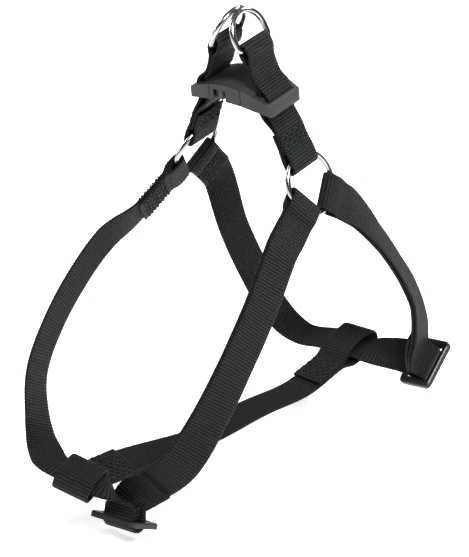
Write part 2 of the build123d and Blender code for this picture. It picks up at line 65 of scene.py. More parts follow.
# Sizes of the CAD part that the routes need
WEB_WIDTH, WEB_THICKNESS, LAYER_GAP, CLEARANCE = 20.0, 1.6, 0.3, 0.35
RING_WIRE, RING_SPREAD, FOLD_SPREAD, RING_ROLL = 2.8, 75.0, 50.0, 8.0
D_WIRE, D_HEIGHT, D_SPREAD, D_LEVEL, D_CORNER, BOW_GAP = 3.0, 17.6, 18.0, 71.5, 1.8, 0.5
BACK_TILT, BACK_TAIL = 8.0, 31.0
BUCKLE_LENGTH, BUCKLE_LEVEL, END_HEIGHT, ARCH_ABOVE = 52.0, 39.5, 5.5, 6.5
RIM, ANCHOR_BAR, OUTER_SLOT, INNER_SLOT = 2.4, 2.4, 2.8, 3.0
ADJUSTER_LENGTH, ADJUSTER_BAR, ADJUSTER_CENTRE_BAR, ADJUSTER_HEIGHT = 22.0, 2.5, 3.0, 3.0
KEEPER_HEIGHT, KEEPER_PLAY, KEEPER_NECK = 5.5, 1.8, 19.0
FRONT_CHEST_TAIL, REAR_CHEST_TAIL, SEWN_TAIL, ADJUSTER_TAIL = 25.0, 19.0, 44.0, 30.0
SLOT_PLAY = 0.8

HALF_WEB = WEB_WIDTH / 2
HALF_THICK = WEB_THICKNESS / 2
LAYER = WEB_THICKNESS + LAYER_GAP
PAIR = LAYER / 2

ring_chord = (HALF_WEB + CLEARANCE) / tan(radians(FOLD_SPREAD)) + CLEARANCE + WEB_THICKNESS
ring_radius = sqrt(ring_chord**2 + HALF_WEB**2) + RING_WIRE / 2
bow_radius = (WEB_WIDTH + SLOT_PLAY + D_WIRE) / 2
bow_lean = asin((D_SPREAD - D_WIRE - BOW_GAP) / 2 / D_HEIGHT)
TILT = Matrix.Rotation(radians(BACK_TILT), 3, "X")
RING_MIDDLE = -(TILT @ Vector((0, 0, D_LEVEL + D_HEIGHT * cos(bow_lean) - D_WIRE / 2)))


def vec(*xyz):
    return Vector(xyz)


class Seat:
    """A place where webbing turns: out runs along the strap, side from one layer to the other."""

    def __init__(self, centre, out, side, width):
        self.centre = centre
        self.out = out.normalized()
        self.side = side.normalized()
        self.width = width.normalized()

    def at(self, along, across):
        return self.centre + self.out * along + self.side * across, self.width.copy()


def ways_along(stations):
    points = [point for point, width in stations]
    before = points[:1] + points
    after = points[1:] + points[-1:]
    return [(ahead - behind).normalized() for behind, ahead in zip(before, after)]


def normals(stations):
    return [way.cross(width).normalized() for way, (point, width) in zip(ways_along(stations), stations)]


def turn(seat, start, radius, steps=6):
    angles = [pi * i / steps for i in range(steps + 1)]
    return [seat.at(start - radius * sin(a), radius * cos(a)) for a in angles]


def fold(seat, start, radius, shoulder, joined, offset=PAIR):
    first = [seat.at(joined, offset), seat.at(shoulder, radius)]
    last = [seat.at(shoulder, -radius), seat.at(joined, -offset)]
    return first + turn(seat, start, radius) + last


def smooth(route, first_way, last_way, spacing=8.0):
    points = [point for point, width in route]
    ways = [first_way.normalized()]
    ways += [(ahead - behind).normalized() for behind, ahead in zip(points, points[2:])]
    ways.append(last_way.normalized())
    stations = []
    for i in range(len(route) - 1):
        (a, wa), (b, wb) = route[i], route[i + 1]
        chord = (b - a).length
        count = max(1, round(chord / spacing))
        for j in range(count):
            t = j / count
            s = t * t * (3 - 2 * t)
            bend = ways[i] * (chord * t * (1 - t) ** 2) - ways[i + 1] * (chord * t * t * (1 - t))
            stations.append((a + (b - a) * s + bend, wa + (wb - wa) * t))
    stations.append(route[-1])
    squared = [(p, w - way * w.dot(way)) for way, (p, w) in zip(ways_along(stations), stations)]
    return squared[1:-1]


def shifted(stations, offset):
    return [(point + normal * offset, width) for normal, (point, width) in zip(normals(stations), stations)]


def mirrored(vector, side_sign):
    return vec(side_sign * vector.x, vector.y, vector.z)


anchor_x = BUCKLE_LENGTH / 2 - RIM - OUTER_SLOT - ANCHOR_BAR / 2
anchor_z = BUCKLE_LEVEL + END_HEIGHT / 2
lower_run = vec(anchor_x - RING_SPREAD / 2, 0, anchor_z).normalized()
upper_run = vec(D_SPREAD / 2 - anchor_x, 0, D_LEVEL - anchor_z).normalized()


def ring_seat(side_sign, fore, inner_first=True):
    up = mirrored(lower_run, side_sign)
    angle = radians(FOLD_SPREAD - fore * RING_ROLL)
    down = -up * cos(angle) + vec(0, fore * sin(angle), 0)
    inward = vec(-side_sign * lower_run.z, 0, lower_run.x)
    side = TILT @ (inward if inner_first else -inward)
    out = TILT @ down
    centre = RING_MIDDLE + TILT @ vec(side_sign * RING_SPREAD / 2, 0, 0)
    return Seat(centre, out, side, out.cross(side))


ring_turn = RING_WIRE / 2 + CLEARANCE + HALF_THICK
ring_start = ring_chord - CLEARANCE + RING_WIRE / 2
ring_shoulder = ring_radius + RING_WIRE / 2 + CLEARANCE
ring_joined = ring_shoulder + 5.0
bar_turn = ADJUSTER_CENTRE_BAR / 2 + CLEARANCE + HALF_THICK
bar_joined = bar_turn * 2 + 3.0
under_turn = bar_turn + LAYER
STATIONS_AFTER_BAR = 6

FRONT_LEFT_ROUTE = [
    (vec(-52, -44, -121), vec(0.1, -0.6, 0.7)),
    (vec(-54, -66, -138), vec(0.1, -0.7, 0.7)),
    (vec(-54, -85, -157), vec(0.1, -0.7, 0.6)),
    (vec(-53, -98, -177), vec(0.1, -0.8, 0.5)),
    (vec(-43, -109, -195), vec(0.1, -0.9, 0.3)),
    (vec(-31, -117, -206), vec(0, -1, 0.1)),
]
FRONT_RIGHT_ROUTE = [
    (vec(41, -99, -199), vec(0.6, 0.6, -0.4)),
    (vec(48, -85, -178), vec(0.4, 0.7, -0.5)),
    (vec(51, -67, -154), vec(0.3, 0.7, -0.6)),
    (vec(49, -43, -130), vec(0.3, 0.7, -0.6)),
    (vec(46, -22, -107), vec(0.3, 0.7, -0.6)),
]
REAR_LEFT_ROUTE = [
    (vec(-51, 62, -150), vec(-0.1, -0.8, -0.5)),
    (vec(-48, 76, -180), vec(-0.1, -0.9, -0.4)),
    (vec(-38, 84, -205), vec(0, -0.9, -0.3)),
    (vec(-22, 87, -216), vec(0, -1, -0.1)),
]
REAR_RIGHT_ROUTE = [
    (vec(58, 86, -190), vec(0.2, -0.8, -0.6)),
    (vec(58, 79, -167), vec(0.5, -0.7, -0.4)),
    (vec(54, 70, -148), vec(0.6, -0.7, -0.3)),
    (vec(50, 57, -128), vec(0.6, -0.6, -0.4)),
    (vec(46, 41, -108), vec(0.4, -0.6, -0.5)),
]
CHEST_ROUTE = [
    (vec(-1, -35, -225), vec(1, 0, 0)),
    (vec(1, 12, -226), vec(1, 0, 0)),
]
FRONT_BRIDGE_WIDTH = vec(0.55, -0.6, 0.2)


def adjuster_seat(centre, bar, up):
    bar = bar.normalized()
    up = (up - bar * up.dot(bar)).normalized()
    return Seat(centre, up, up.cross(bar), bar)


def keeper_seat(centre, run, towards):
    run = run.normalized()
    out = (towards - run * towards.dot(run)).normalized()
    side = out.cross(run)
    return Seat(centre, out, -side if side.z < 0 else side, run)


def sewn_seat(keeper, out, drop=0):
    out = out.normalized()
    side = keeper.side - out * keeper.side.dot(out)
    width = keeper.width - out * keeper.width.dot(out)
    side = side - width * (side.dot(width) / width.dot(width))
    return Seat(keeper.centre + keeper.out * KEEPER_NECK - keeper.side * drop, out, side, width)


front_left_seat = ring_seat(-1, -1)
front_right_seat = ring_seat(1, -1)
rear_left_seat = ring_seat(-1, 1)
rear_right_seat = ring_seat(1, 1, inner_first=False)
front_adjuster = adjuster_seat(vec(15.5, -111, -232.5), vec(1, 0, 0.1), vec(-0.1, 0.45, 0.89))
rear_adjuster = adjuster_seat(vec(57, 94, -213), vec(0, -0.75, -0.66), vec(-0.26, -0.64, 0.72))
front_keeper = keeper_seat(vec(-4, -121, -211), vec(0.92, 0.3, -0.3), vec(0, 1, -0.18))
rear_keeper = keeper_seat(vec(10, 89, -214), vec(1, -0.05, 0.06), vec(0, -0.97, -0.22))
front_sewn = sewn_seat(front_keeper, vec(0.06, 0.99, -0.1), 7.5)
rear_sewn = sewn_seat(rear_keeper, vec(-0.1, -0.97, -0.25))


def ring_fold(seat, offset=PAIR):
    return fold(seat, ring_start, ring_turn, ring_shoulder, ring_joined, offset)


def over_bar(start, way, seat):
    first_bar = -ADJUSTER_LENGTH / 2 + ADJUSTER_BAR / 2
    over = ADJUSTER_HEIGHT / 2 + CLEARANCE + HALF_THICK
    stations = [
        seat.at(over + 1.6, first_bar - 5.0),
        seat.at(over + 0.6, first_bar),
        seat.at(over - 0.4, first_bar + 2.6),
    ]
    return smooth([start, stations[0]], way, seat.side) + stations


def into_slot(start, way, seat):
    top = seat.at(7.0, -under_turn - 0.6)
    middle = (start[0] + top[0]) * 0.5 + (way + seat.out) * ((top[0] - start[0]).length / 8)
    return smooth([start, (middle, FRONT_BRIDGE_WIDTH), top], way, -seat.out, 2.5) + [top]


def through_adjuster(seat):
    angles = [pi * i / 8 for i in range(9)]
    stations = [seat.at(0.4 - under_turn * sin(a), -under_turn * cos(a)) for a in angles]
    return stations + [seat.at(bar_joined, 1.5 * LAYER)]


def through_keeper(keeper):
    reach = HALF_WEB + 1.5
    width = keeper.out if keeper.out.y < 0 else -keeper.out
    return [(keeper.centre + keeper.width * x, width.copy()) for x in (-reach, 0, reach)]


def loop_runs(left_seat, left_route, keeper, bridge, adjuster, right_route, right_seat):
    """A loop's stations, with the places of the keeper's middle and of the turn under the centre bar."""
    tail = [left_seat.at(SEWN_TAIL, PAIR), left_seat.at((SEWN_TAIL + ring_joined) / 2, PAIR)]
    start = tail + ring_fold(left_seat) + [left_seat.at(SEWN_TAIL, -PAIR)]
    held = through_keeper(keeper)
    left = smooth([start[-1]] + left_route + [held[0]], left_seat.out, keeper.width)
    slot = bridge(held[-1], keeper.width, adjuster) + through_adjuster(adjuster)
    doubled = [adjuster.at(bar_joined, LAYER)] + right_route + [right_seat.at(ring_joined, 0)]
    first_way = adjuster.out + (doubled[1][0] - doubled[0][0]).normalized()
    middle = [doubled[0]] + smooth(doubled, first_way, -right_seat.out) + [doubled[-1]]
    running = shifted(middle, PAIR)[1:-1]
    back = list(reversed(shifted(middle, -PAIR)[1:-1]))
    bar = fold(adjuster, 0, bar_turn, bar_turn * 2 - 1.0, bar_joined)
    tail_run = [s for s in middle[1:] if (s[0] - adjuster.centre).length < ADJUSTER_TAIL]
    sewn = shifted([middle[0]] + tail_run, -3 * PAIR)[1:]
    whole = start + left + held + slot + running + ring_fold(right_seat) + back + bar + sewn
    at_keeper = len(start) + len(left) + 1
    under_bar = len(start) + len(left) + len(held) + len(slot) - STATIONS_AFTER_BAR
    return whole, at_keeper, under_bar


def chest_end(seat, sewn, tail):
    start = -(HALF_WEB + KEEPER_PLAY) + KEEPER_HEIGHT - HALF_THICK
    leg = HALF_WEB - 1.0
    near = KEEPER_HEIGHT - 0.6
    stations = [sewn.at(tail, PAIR), sewn.at(0, PAIR), seat.at(leg, near)]
    stations += turn(seat, start, KEEPER_HEIGHT)
    return stations + [seat.at(leg, -near), sewn.at(0, -PAIR), sewn.at(tail, -PAIR)]


def chest_run():
    front = chest_end(front_keeper, front_sewn, FRONT_CHEST_TAIL)
    rear = list(reversed(chest_end(rear_keeper, rear_sewn, REAR_CHEST_TAIL)))
    return front + smooth([front[-1]] + CHEST_ROUTE + [rear[0]], front_sewn.out, -rear_sewn.out) + rear


def arch_rise(x):
    return ARCH_ABOVE * (1 - (2 * x / BUCKLE_LENGTH) ** 2)


def back_seat(side_sign):
    """The seat of a back strap on its O-ring, upright, before the back is tilted."""
    up = mirrored(lower_run, side_sign)
    low_out = vec(side_sign * lower_run.z, 0, -lower_run.x)
    return Seat(vec(side_sign * RING_SPREAD / 2, 0, 0), up, -low_out, vec(0, 1, 0))


def tilted(stations):
    return [(RING_MIDDLE + TILT @ point, TILT @ width) for point, width in stations]


def back_run(side_sign):
    ring = back_seat(side_sign)
    high = mirrored(upper_run, side_sign)
    high_out = vec(side_sign * upper_run.z, 0, -upper_run.x)
    d_bar = Seat(vec(side_sign * D_SPREAD / 2, 0, D_LEVEL), -high, high_out, vec(0, 1, 0))
    outer_x = side_sign * (BUCKLE_LENGTH / 2 - RIM - OUTER_SLOT / 2)
    inner_x = side_sign * (anchor_x - ANCHOR_BAR / 2 - INNER_SLOT / 2)
    slot_low = BUCKLE_LEVEL - 1.0
    slot_high = BUCKLE_LEVEL + END_HEIGHT + 1.0
    outer_high = slot_high + arch_rise(anchor_x + ANCHOR_BAR / 2)
    inner_high = slot_high + arch_rise(anchor_x - ANCHOR_BAR / 2 - INNER_SLOT)
    width = vec(0, 1, 0)
    d_turn = D_WIRE / 2 + CLEARANCE + HALF_THICK
    meet = (D_LEVEL - inner_high) * 0.85
    stations = [ring.at(BACK_TAIL, LAYER)]
    stations += fold(ring, ring_start, ring_turn, ring_shoulder, ring_joined, LAYER)
    stations += [ring.at(BACK_TAIL, -LAYER)]
    stations += [(vec(outer_x, 0, slot_low), width), (vec(outer_x, 0, outer_high), width)]
    stations += [d_bar.at(meet, PAIR)]
    stations += fold(d_bar, 0, d_turn, d_turn + 1.5, d_turn + 6.0)
    stations += [d_bar.at(meet, -PAIR)]
    stations += [(vec(inner_x, 0, inner_high), width), (vec(inner_x, 0, slot_low), width)]
    stations += [ring.at(BACK_TAIL + 0.5, 0), ring.at(ring_shoulder + 2.0, 0)]
    return tilted(stations)


# Webbing mesh

RIB_PITCH = 1.6
RIB_HEIGHT = 0.3
STEPS_PER_RIB = 4
RIB_SINK = 0.7          # share of a rib's height that lies below the strap's face
FACE_SHARE = 0.93       # the faces between ribs lie this much nearer the middle
EDGE_SHRINK = 0.004
BACK_FACE_SHIFT = 30    # mm in the UVs between the two faces of a strap
UV_SCALE = 0.01


def distances(points):
    out = [0.0]
    for a, b in zip(points, points[1:]):
        out.append(out[-1] + (b - a).length)
    return out


def rounded(stations, step):
    """The run with stations every step, on a curve whose corners at the route's stations are softened."""
    stations = [s for i, s in enumerate(stations) if i == 0 or (s[0] - stations[i - 1][0]).length > 1e-4]
    points = [p for p, w in stations]
    widths = [w.normalized() for p, w in stations]
    ways = ways_along(stations)
    along = distances(points)
    count = max(2, round(along[-1] / step))
    result = []
    i = 0
    for k in range(count + 1):
        s = along[-1] * k / count
        while i < len(points) - 2 and s > along[i + 1]:
            i += 1
        length = along[i + 1] - along[i]
        t = min(1.0, (s - along[i]) / length)
        a, b = points[i], points[i + 1]
        straight = (b - a) / length
        first = ways[i] if i > 0 else straight
        last = ways[i + 1] if i < len(points) - 2 else straight
        blend = t * t * (3 - 2 * t)
        bend = first * (length * t * (1 - t) ** 2) - last * (length * t * t * (1 - t))
        width = widths[i].lerp(widths[i + 1], t).normalized()
        result.append((a + (b - a) * blend + bend, width, s))
    return result


def section():
    """The strap's section as (across, height): flat faces with rounded selvedges, all the way round."""
    corner = HALF_THICK * 0.9
    top = [(-HALF_WEB + corner + (WEB_WIDTH - 2 * corner) * i / 8, HALF_THICK) for i in range(9)]
    right = [(HALF_WEB - corner + corner * cos(a), HALF_THICK * sin(a)) for a in (pi / 4, 0, -pi / 4)]
    bottom = [(x, -z) for x, z in reversed(top)]
    left = [(-x, z) for x, z in reversed(right)]
    return top + right + bottom + left


def rib(s):
    """How far a rib stands up at a distance along the webbing."""
    wave = abs(sin(pi * s / RIB_PITCH))
    return RIB_HEIGHT * (wave - RIB_SINK)


def add_object(name, verts, faces, material):
    mesh = bpy.data.meshes.new(name)
    mesh.from_pydata(verts, [], faces)
    mesh.materials.append(materials[material])
    obj = bpy.data.objects.new(name, mesh)
    bpy.context.scene.collection.objects.link(obj)
    return obj


def webbing(name, stations, start=0.0, caps=(True, True)):
    """A strip of ribbed webbing along its stations, with UVs in millimetres along and across."""
    run = rounded(stations, RIB_PITCH / STEPS_PER_RIB)
    points = [(p, w) for p, w, s in run]
    ups = normals(points)
    ring = section()
    n = len(ring)
    verts, uvs, faces = [], [], []
    for (p, w, s), up in zip(run, ups):
        for across, height in ring:
            on_face = abs(height) > 0.1
            bulge = rib(s + start) * (1 if height > 0 else -1) if on_face else 0.0
            shrink = 1 - EDGE_SHRINK * abs(sin(pi * (s + start) / RIB_PITCH))
            verts.append((p + w * (across * shrink) + up * (height * FACE_SHARE + bulge)) * MM)
            uvs.append((across + (BACK_FACE_SHIFT if height < 0 else 0), s + start))
    for k in range(len(run) - 1):
        for j in range(n):
            a = k * n + j
            b = k * n + (j + 1) % n
            faces.append((a, a + n, b + n, b))
    if caps[0]:
        faces.append(tuple(range(n)))
    if caps[1]:
        faces.append(tuple(reversed(range((len(run) - 1) * n, len(run) * n))))
    obj = add_object(name, verts, faces, "webbing")
    mesh = obj.data
    layer = mesh.uv_layers.new(name="along")
    for loop in mesh.loops:
        u, v = uvs[loop.vertex_index]
        layer.data[loop.index].uv = (u * UV_SCALE, v * UV_SCALE)
    for poly in mesh.polygons:
        poly.use_smooth = len(poly.vertices) == 4
    return obj


# Rings

WIRE_SIDES = 20
O_RING_STEPS = 120


def closed_wire(name, points, radius):
    """A round chrome wire on the closed line of points, with its section kept from twisting."""
    count = len(points)
    sides = WIRE_SIDES
    verts, faces = [], []
    up = None
    for i, p in enumerate(points):
        way = (points[(i + 1) % count] - points[i - 1]).normalized()
        if up is None:
            up = way.orthogonal().normalized()
        up = (up - way * up.dot(way)).normalized()
        side = way.cross(up)
        for j in range(sides):
            a = 2 * pi * j / sides
            verts.append((p + up * (radius * cos(a)) + side * (radius * sin(a))) * MM)
    for i in range(count):
        here, ahead = i * sides, ((i + 1) % count) * sides
        for j in range(sides):
            k = (j + 1) % sides
            faces.append((here + j, here + k, ahead + k, ahead + j))
    obj = add_object(name, verts, faces, "chrome")
    for poly in obj.data.polygons:
        poly.use_smooth = True
    return obj


def o_ring(name, seat):
    first = seat.out
    second = seat.side.cross(first).normalized()
    angles = [2 * pi * i / O_RING_STEPS for i in range(O_RING_STEPS)]
    points = [seat.centre + (first * cos(a) + second * sin(a)) * ring_radius for a in angles]
    return closed_wire(name, points, RING_WIRE / 2)


def d_ring(name, side_sign):
    half, legs, low = bow_radius, D_HEIGHT - bow_radius, D_CORNER
    corner = [pi / 2 * i / 6 for i in range(7)]
    line = [(-half + low + (2 * half - 2 * low) * i / 12, 0) for i in range(13)]
    line += [(half - low + low * sin(a), low - low * cos(a)) for a in corner[1:]]
    line += [(half * cos(a), legs + half * sin(a)) for a in (pi * i / 40 for i in range(41))]
    line += [(-half + low - low * cos(a), low - low * sin(a)) for a in corner[:-1]]
    bow = vec(-side_sign * sin(bow_lean), 0, cos(bow_lean))
    base = vec(side_sign * D_SPREAD / 2, 0, D_LEVEL)
    points = [RING_MIDDLE + TILT @ (base + vec(0, y, 0) + bow * z) for y, z in line]
    return closed_wire(name, points, D_WIRE / 2)


# Stitches

THREAD_ROWS = 8
ROW_SPREAD = 16.5
STITCH_PITCH = 2.2
STITCH_GAP = 0.25       # from a needle hole to the thread, at each end of a stitch
STITCH_LEAN = 1.7       # across a stitch, to the one side and the other by turns
THREAD_RADIUS = 0.36
THREAD_SIDES = 6
THREAD_STEPS = 6


def thread_rows(name, seat, start, end, face):
    """Sewing thread on both faces of some layers: short leaning stitches that dive into needle holes."""
    verts, faces = [], []
    sides = THREAD_SIDES
    holes = max(1, round((end - start) / STITCH_PITCH))
    step = (end - start) / holes
    for layer_side in (-1, 1):
        for r in range(THREAD_ROWS):
            across = ROW_SPREAD * (r / (THREAD_ROWS - 1) - 0.5)
            for h in range(holes):
                lean = STITCH_LEAN if (r + h) % 2 else -STITCH_LEAN
                a = start + h * step + STITCH_GAP
                length = step - 2 * STITCH_GAP
                base = len(verts)
                for k in range(THREAD_STEPS + 1):
                    t = k / THREAD_STEPS
                    lift = 0.5 * sin(pi * t) ** 0.6 - 0.1
                    radius = THREAD_RADIUS * (0.55 + 0.45 * sin(pi * t))
                    centre = seat.centre + seat.out * (a + length * t)
                    centre += seat.width * (across + lean * (t - 0.5))
                    centre += seat.side * (layer_side * (face + lift))
                    for j in range(sides):
                        angle = 2 * pi * j / sides
                        round_it = seat.width * cos(angle) + seat.side * sin(angle)
                        verts.append((centre + round_it * radius) * MM)
                for k in range(THREAD_STEPS):
                    for j in range(sides):
                        p, q = base + k * sides + j, base + k * sides + (j + 1) % sides
                        faces.append((p, q, q + sides, p + sides))
    obj = add_object(name, verts, faces, "thread")
    for poly in obj.data.polygons:
        poly.use_smooth = True
    return obj


# Materials

YARN_PITCH = 1.25


def node_material(name):
    made = bpy.data.materials.new(name)
    made.use_nodes = True
    nodes = made.node_tree.nodes
    return made, nodes, made.node_tree.links, nodes["Principled BSDF"]


def noise_node(nodes, scale, detail=2.0):
    noise = nodes.new("ShaderNodeTexNoise")
    noise.inputs["Scale"].default_value = scale
    noise.inputs["Detail"].default_value = detail
    return noise


def math_node(nodes, operation, *constants):
    """A maths node whose sockets after the first hold the constants."""
    node = nodes.new("ShaderNodeMath")
    node.operation = operation
    for place, value in enumerate(constants, 1):
        node.inputs[place].default_value = value
    return node


def colour_ramp(nodes, links, factor, low, high, low_place=0.0, high_place=1.0):
    ramp = nodes.new("ShaderNodeValToRGB")
    ramp.color_ramp.elements[0].position = low_place
    ramp.color_ramp.elements[0].color = (*low, 1)
    ramp.color_ramp.elements[1].position = high_place
    ramp.color_ramp.elements[1].color = (*high, 1)
    links.new(factor, ramp.inputs[0])
    return ramp.outputs[0]


def vary_roughness(nodes, links, shader, factor, low, high):
    rough = nodes.new("ShaderNodeMapRange")
    rough.inputs["To Min"].default_value = low
    rough.inputs["To Max"].default_value = high
    links.new(factor, rough.inputs["Value"])
    links.new(rough.outputs[0], shader.inputs["Roughness"])


def add_bump(nodes, links, shader, height, strength, distance):
    bump = nodes.new("ShaderNodeBump")
    bump.inputs["Strength"].default_value = strength
    bump.inputs["Distance"].default_value = distance
    links.new(height, bump.inputs["Height"])
    links.new(bump.outputs[0], shader.inputs["Normal"])


def webbing_material():
    """Black yarn: cross ribs and lengthwise yarns from the UVs, with worn patches and fuzz; its colour is
    painted lighter on the rib and yarn crests as a painted highlight and darker in the grooves as painted
    shade.
    """
    made, nodes, links, shader = node_material("webbing")
    uv = nodes.new("ShaderNodeUVMap")
    uv.uv_map = "along"
    in_mm = nodes.new("ShaderNodeVectorMath")
    in_mm.operation = "SCALE"
    in_mm.inputs["Scale"].default_value = 1 / UV_SCALE
    links.new(uv.outputs["UV"], in_mm.inputs[0])
    apart = nodes.new("ShaderNodeSeparateXYZ")
    links.new(in_mm.outputs["Vector"], apart.inputs[0])

    def wave(socket, pitch):
        scaled = math_node(nodes, "MULTIPLY", pi / pitch)
        links.new(socket, scaled.inputs[0])
        sine = math_node(nodes, "SINE")
        links.new(scaled.outputs[0], sine.inputs[0])
        size = math_node(nodes, "ABSOLUTE")
        links.new(sine.outputs[0], size.inputs[0])
        return size.outputs[0]

    weave = math_node(nodes, "MULTIPLY")
    links.new(wave(apart.outputs["Y"], RIB_PITCH), weave.inputs[0])
    links.new(wave(apart.outputs["X"], YARN_PITCH), weave.inputs[1])
    patches = noise_node(nodes, 1.4, 6.0)
    links.new(in_mm.outputs["Vector"], patches.inputs["Vector"])
    worn = math_node(nodes, "MULTIPLY", 0.4)
    links.new(patches.outputs["Fac"], worn.inputs[0])
    crest_highlight_and_wear = math_node(nodes, "MULTIPLY_ADD", 0.75)
    links.new(weave.outputs[0], crest_highlight_and_wear.inputs[0])
    links.new(worn.outputs[0], crest_highlight_and_wear.inputs[2])
    dark, light = (0.0006, 0.0008, 0.0009), (0.040, 0.047, 0.049)
    # Painted highlight on the rib and yarn crests and painted shade in the grooves, mixed with worn patches
    # at random
    links.new(colour_ramp(nodes, links, crest_highlight_and_wear.outputs[0], dark, light, 0.35), shader.inputs["Base Color"])
    vary_roughness(nodes, links, shader, patches.outputs["Fac"], 0.3, 0.5)
    fuzz = noise_node(nodes, 2600.0, 3.0)
    height = math_node(nodes, "MULTIPLY_ADD", 0.35)
    links.new(fuzz.outputs["Fac"], height.inputs[0])
    links.new(weave.outputs[0], height.inputs[2])
    add_bump(nodes, links, shader, height.outputs[0], 0.8, 0.00045)
    shader.inputs["Sheen Weight"].default_value = 0.03
    shader.inputs["Sheen Roughness"].default_value = 0.4
    shader.inputs["Specular IOR Level"].default_value = 0.26
    return made


def thread_material():
    made, nodes, links, shader = node_material("thread")
    fibre = noise_node(nodes, 3000.0).outputs["Fac"]
    # The thread is painted a lighter grey than its own black, a painted sheen for the highlights it
    # catches; the fibre noise varies the tone at random
    dark, light = (0.010, 0.012, 0.013), (0.075, 0.083, 0.086)
    links.new(colour_ramp(nodes, links, fibre, dark, light), shader.inputs["Base Color"])
    add_bump(nodes, links, shader, fibre, 0.4, 0.0001)
    shader.inputs["Roughness"].default_value = 0.45
    return made


def chrome_material():
    made, nodes, links, shader = node_material("chrome")
    haze = noise_node(nodes, 180.0, 5.0).outputs["Fac"]
    dark, light = (0.36, 0.37, 0.39), (0.62, 0.63, 0.65)
    links.new(colour_ramp(nodes, links, haze, dark, light, 0.3, 0.7), shader.inputs["Base Color"])
    vary_roughness(nodes, links, shader, haze, 0.12, 0.28)
    shader.inputs["Metallic"].default_value = 1.0
    return made


def plastic_material():
    """Charcoal plastic, fine-grained, with its sharp edges painted lighter as a painted highlight."""
    made, nodes, links, shader = node_material("plastic")
    cloud = noise_node(nodes, 60.0).outputs["Fac"]
    geometry = nodes.new("ShaderNodeNewGeometry")
    # Painted highlight: the sharp edges found by pointiness are painted a lighter grey
    painted_edge_highlight = nodes.new("ShaderNodeMapRange")
    painted_edge_highlight.inputs["From Min"].default_value = 0.5
    painted_edge_highlight.inputs["From Max"].default_value = 0.62
    links.new(geometry.outputs["Pointiness"], painted_edge_highlight.inputs["Value"])
    dark, light = (0.0030, 0.0034, 0.0038), (0.0060, 0.0066, 0.0072)
    mix = nodes.new("ShaderNodeMixRGB")
    mix.inputs["Color2"].default_value = (0.05, 0.052, 0.055, 1)
    links.new(painted_edge_highlight.outputs[0], mix.inputs["Fac"])
    links.new(colour_ramp(nodes, links, cloud, dark, light), mix.inputs["Color1"])
    links.new(mix.outputs[0], shader.inputs["Base Color"])
    vary_roughness(nodes, links, shader, cloud, 0.24, 0.38)
    grain = noise_node(nodes, 900.0, 4.0).outputs["Fac"]
    add_bump(nodes, links, shader, grain, 0.2, 0.00008)
    shader.inputs["Specular IOR Level"].default_value = 0.3
    return made


def floor_material():
    made, nodes, links, shader = node_material("floor")
    cloud = noise_node(nodes, 3.0).outputs["Fac"]
    dark, light = (0.97, 0.97, 0.97), (0.99, 0.99, 0.99)
    links.new(colour_ramp(nodes, links, cloud, dark, light), shader.inputs["Base Color"])
    shader.inputs["Roughness"].default_value = 0.8
    shader.inputs["Emission Color"].default_value = (1, 1, 1, 1)
    shader.inputs["Emission Strength"].default_value = 0.6
    return made


materials = {
    "webbing": webbing_material(),
    "thread": thread_material(),
    "chrome": chrome_material(),
    "plastic": plastic_material(),
    "floor": floor_material(),
}


# The straps

def loop_pieces(name, body, *plan):
    """The three pieces of a loop, split at the keeper and under the adjuster's centre bar."""
    adjuster, right_route = plan[4:6]
    whole, at_keeper, under_bar = loop_runs(*plan)
    along = distances([p for p, w in whole])
    first = webbing(name + "_strap_left_run", whole[:at_keeper + 1], 0.0, (True, False))
    under = whole[at_keeper:under_bar + 1]
    bridge = webbing(name + "_strap_bridge", under, along[at_keeper], (False, False))
    rest = webbing(name + "_strap_doubled_run", whole[under_bar:], along[under_bar], (False, True))
    bar = adjuster.at(2.0, -under_turn)[0]
    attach(first, "harness")
    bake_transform(bridge)
    adjuster.at(bar_joined, LAYER)[0] * MM
    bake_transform(rest)
    for piece in (first, bridge, rest):
        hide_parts(name + "_strap")


loop_pieces("front", "front_adjuster", front_left_seat, FRONT_LEFT_ROUTE, front_keeper, into_slot,
            front_adjuster, FRONT_RIGHT_ROUTE, front_right_seat)
loop_pieces("rear", "rear_adjuster", rear_left_seat, REAR_LEFT_ROUTE, rear_keeper, over_bar,
            rear_adjuster, REAR_RIGHT_ROUTE, rear_right_seat)

chest = webbing("chest_strap_webbing", chest_run())
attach(chest, "chest")
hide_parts("chest_strap")

back_right = webbing("back_strap_right_webbing", back_run(1))
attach(back_right, "harness")
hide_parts("back_strap_right")
back_left = webbing("back_strap_left_webbing", back_run(-1))
left_ring = back_seat(-1)
low_end = tilted([left_ring.at(ring_shoulder, 0)])[0][0]
high_end = tilted([left_ring.at(BACK_TAIL + 8, 0)])[0][0]
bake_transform(back_left)
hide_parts("back_strap_left")

# Stitches

